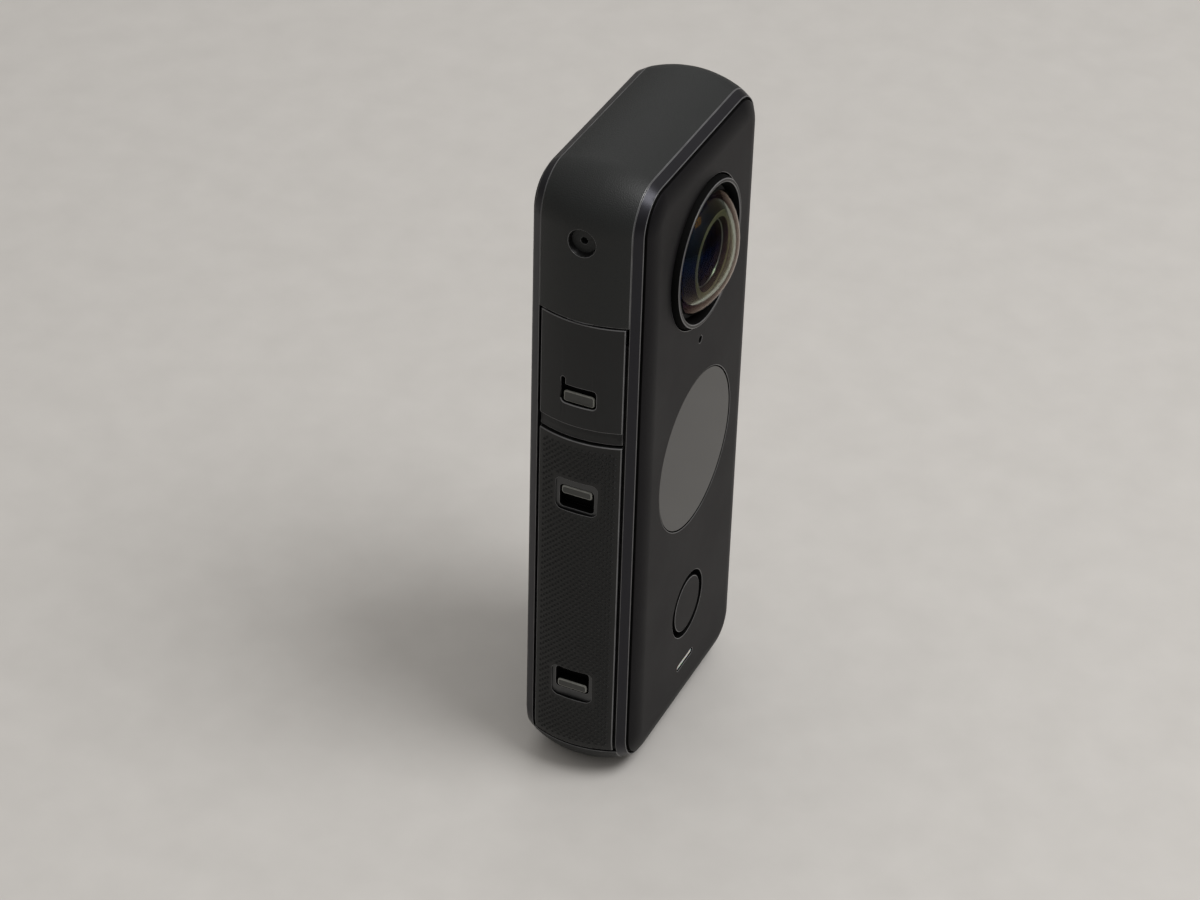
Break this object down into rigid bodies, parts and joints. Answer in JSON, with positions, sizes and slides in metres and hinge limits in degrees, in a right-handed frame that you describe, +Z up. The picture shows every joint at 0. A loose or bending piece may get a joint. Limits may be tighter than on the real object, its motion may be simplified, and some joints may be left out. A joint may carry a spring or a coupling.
{
  "type": "360 degree camera",
  "caption": "Slim upright 360 degree camera with back-to-back fisheye lenses, round touch screen, shutter button, slide-out battery with latches, hinged port door and a tripod thread.",
  "frame": {"origin": "bottom centre of the bounding box, under the flat foot at the tripod thread", "axes": "+Z up, -Y out of the screen, +X to the right when facing the screen"},
  "size_m": [0.0462, 0.0298, 0.113],
  "materials": {
    "shell": "fine matte",
    "rim": "satin",
    "plate": "satin",
    "grip": "fine diamond texture",
    "latch": "matte",
    "inner_plastic": "matte",
    "lens_trim": "satin",
    "barrel": "black anodised",
    "lens_glass": "polished",
    "screen": "polished",
    "display": "dark panel",
    "light": "translucent white",
    "seal": "matte",
    "board": "solder mask",
    "sensor": "polished",
    "steel": "bare",
    "aluminium": "bare",
    "contacts": "plated"
  },
  "bodies": {
    "camera_body": {"main_shell": "shell", "front_bezel": "rim", "rear_bezel": "rim", "front_plate": "plate", "rear_plate": "plate", "right_grip": "grip", "foot_plate": "inner_plastic", "tripod_insert": "steel", "front_lens_ring": "lens_trim", "rear_lens_ring": "lens_trim", "front_lens_dome": "lens_glass", "rear_lens_dome": "lens_glass", "front_lens_gasket": "seal", "rear_lens_gasket": "seal", "front_lens_barrel": "barrel", "rear_lens_barrel": "barrel", "front_inner_lens": "lens_glass", "rear_inner_lens": "lens_glass", "front_image_sensor": "sensor", "rear_image_sensor": "sensor", "front_sensor_board": "board", "rear_sensor_board": "board", "heat_spreader": "aluminium", "lens_carrier": "aluminium", "screen_glass": "screen", "display_panel": "display", "shutter_switch": "steel", "status_light": "light", "front_microphone": "steel", "rear_microphone": "steel", "left_microphone": "steel", "right_microphone": "steel", "battery_tray": "inner_plastic", "main_board": "board", "board_screws": "steel", "usb_board": "board", "usb_socket": "steel", "card_socket": "steel", "contact_block": "contacts", "speaker": "inner_plastic", "wifi_antenna": "contacts", "power_switch": "steel", "port_hinge_pin": "steel"},
    "shutter": {"shutter_button": "plate"},
    "power": {"power_button": "shell"},
    "battery": {"battery_cover": "grip", "battery_case": "inner_plastic", "battery_cell": "aluminium", "battery_seal": "seal", "battery_terminals": "contacts"},
    "battery_upper_latch": {"upper_latch": "latch"},
    "battery_lower_latch": {"lower_latch": "latch"},
    "port_door": {"port_door": "shell", "port_door_liner": "inner_plastic", "port_door_seal": "seal"},
    "port_latch": {"port_door_latch": "latch"}
  },
  "joints": [
    {"name": "shutter_press", "type": "slide", "parent": "camera_body", "child": "shutter", "axis": [0, 1, 0], "range_m": [0, 0.0004], "stiffness_N_per_m": 4000},
    {"name": "power_press", "type": "slide", "parent": "camera_body", "child": "power", "axis": [-1, 0, 0], "range_m": [0, 0.00035], "stiffness_N_per_m": 4000},
    {"name": "port_door_swing", "type": "hinge", "parent": "camera_body", "child": "port_door", "pos_m": [-0.0216, 0, 0.08725], "axis": [0, 1, 0], "range_deg": [0, 95]},
    {"name": "port_latch_slide", "type": "slide", "parent": "port_door", "child": "port_latch", "axis": [0, 0, 1], "range_m": [0, 0.0011], "stiffness_N_per_m": 300},
    {"name": "battery_pull", "type": "slide", "parent": "camera_body", "child": "battery", "axis": [-1, 0, 0], "range_m": [0, 0.036]},
    {"name": "upper_latch_slide", "type": "slide", "parent": "battery", "child": "battery_upper_latch", "axis": [0, 0, -1], "range_m": [0, 0.0022], "stiffness_N_per_m": 300},
    {"name": "lower_latch_slide", "type": "slide", "parent": "battery", "child": "battery_lower_latch", "axis": [0, 0, 1], "range_m": [0, 0.0022], "stiffness_N_per_m": 300}
  ]
}
